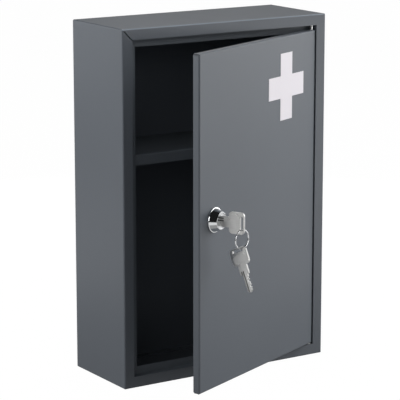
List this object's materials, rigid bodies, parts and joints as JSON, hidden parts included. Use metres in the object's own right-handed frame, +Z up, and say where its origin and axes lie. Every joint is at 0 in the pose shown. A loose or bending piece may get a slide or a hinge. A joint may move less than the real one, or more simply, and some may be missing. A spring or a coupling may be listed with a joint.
{
  "type": "lockable medicine cabinet",
  "caption": "Wall-mounted sheet-steel medicine cabinet with one shelf, a pivot-hung door with a white cross, and a cam lock with a key ring and spare key.",
  "frame": {"origin": "middle of the back face, at the centre of the four wall holes", "axes": "+Z up along the case's height, +Y through the wall holes into the wall, +X to the right seen from the front, towards the hinge"},
  "size_m": [0.215, 0.1904, 0.32],
  "materials": {
    "powder_coat": "fine satin powder coat, anthracite",
    "powder_coat_inside": "fine satin powder coat, anthracite",
    "white_film": "matt white film",
    "bright_steel": "bare drawn steel",
    "zinc": "bright zinc plate",
    "chrome": "polished chrome plate",
    "nickel": "satin nickel plate, stamped",
    "brass": "stamped brass"
  },
  "bodies": {
    "cabinet": {"casing": "powder_coat", "stop_frame": "powder_coat_inside", "back_panel": "powder_coat", "shelf": "powder_coat_inside"},
    "door": {"door_panel": "powder_coat", "cross_film": "white_film", "hinge_pin_top": "bright_steel", "hinge_pin_bottom": "bright_steel", "pivot_washer": "zinc", "lock_body": "chrome", "tooth_washer": "zinc", "lock_nut": "zinc"},
    "plug": {"lock_plug": "chrome", "tumblers": "brass", "stop_disc": "zinc", "cam": "zinc", "cam_washer": "zinc", "cam_screw": "zinc"},
    "key": {"key": "nickel"},
    "ring": {"key_ring": "chrome"},
    "spare_key": {"spare_key": "nickel"}
  },
  "joints": [
    {"name": "door_hinge", "type": "hinge", "parent": "cabinet", "child": "door", "pos_m": [0.0939, -0.082, 0], "axis": [0, 0, 1], "range_deg": [-24, 71]},
    {"name": "lock_turn", "type": "hinge", "parent": "door", "child": "plug", "pos_m": [-0.05772, -0.15279, 0.00085], "axis": [-0.4067, 0.9135, 0], "range_deg": [0, 90]},
    {"name": "key_withdraw", "type": "slide", "parent": "plug", "child": "key", "axis": [0.4067, -0.9135, 0], "range_m": [0, 0.022]},
    {"name": "ring_swing", "type": "hinge", "parent": "key", "child": "ring", "pos_m": [-0.04637, -0.17828, -0.00455], "axis": [-0.9703, -0.2419, 0], "range_deg": [-15, 70]},
    {"name": "spare_key_swing", "type": "hinge", "parent": "ring", "child": "spare_key", "pos_m": [-0.04637, -0.17828, -0.02095], "axis": [-0.9703, -0.2419, 0], "range_deg": [-25, 35]}
  ]
}
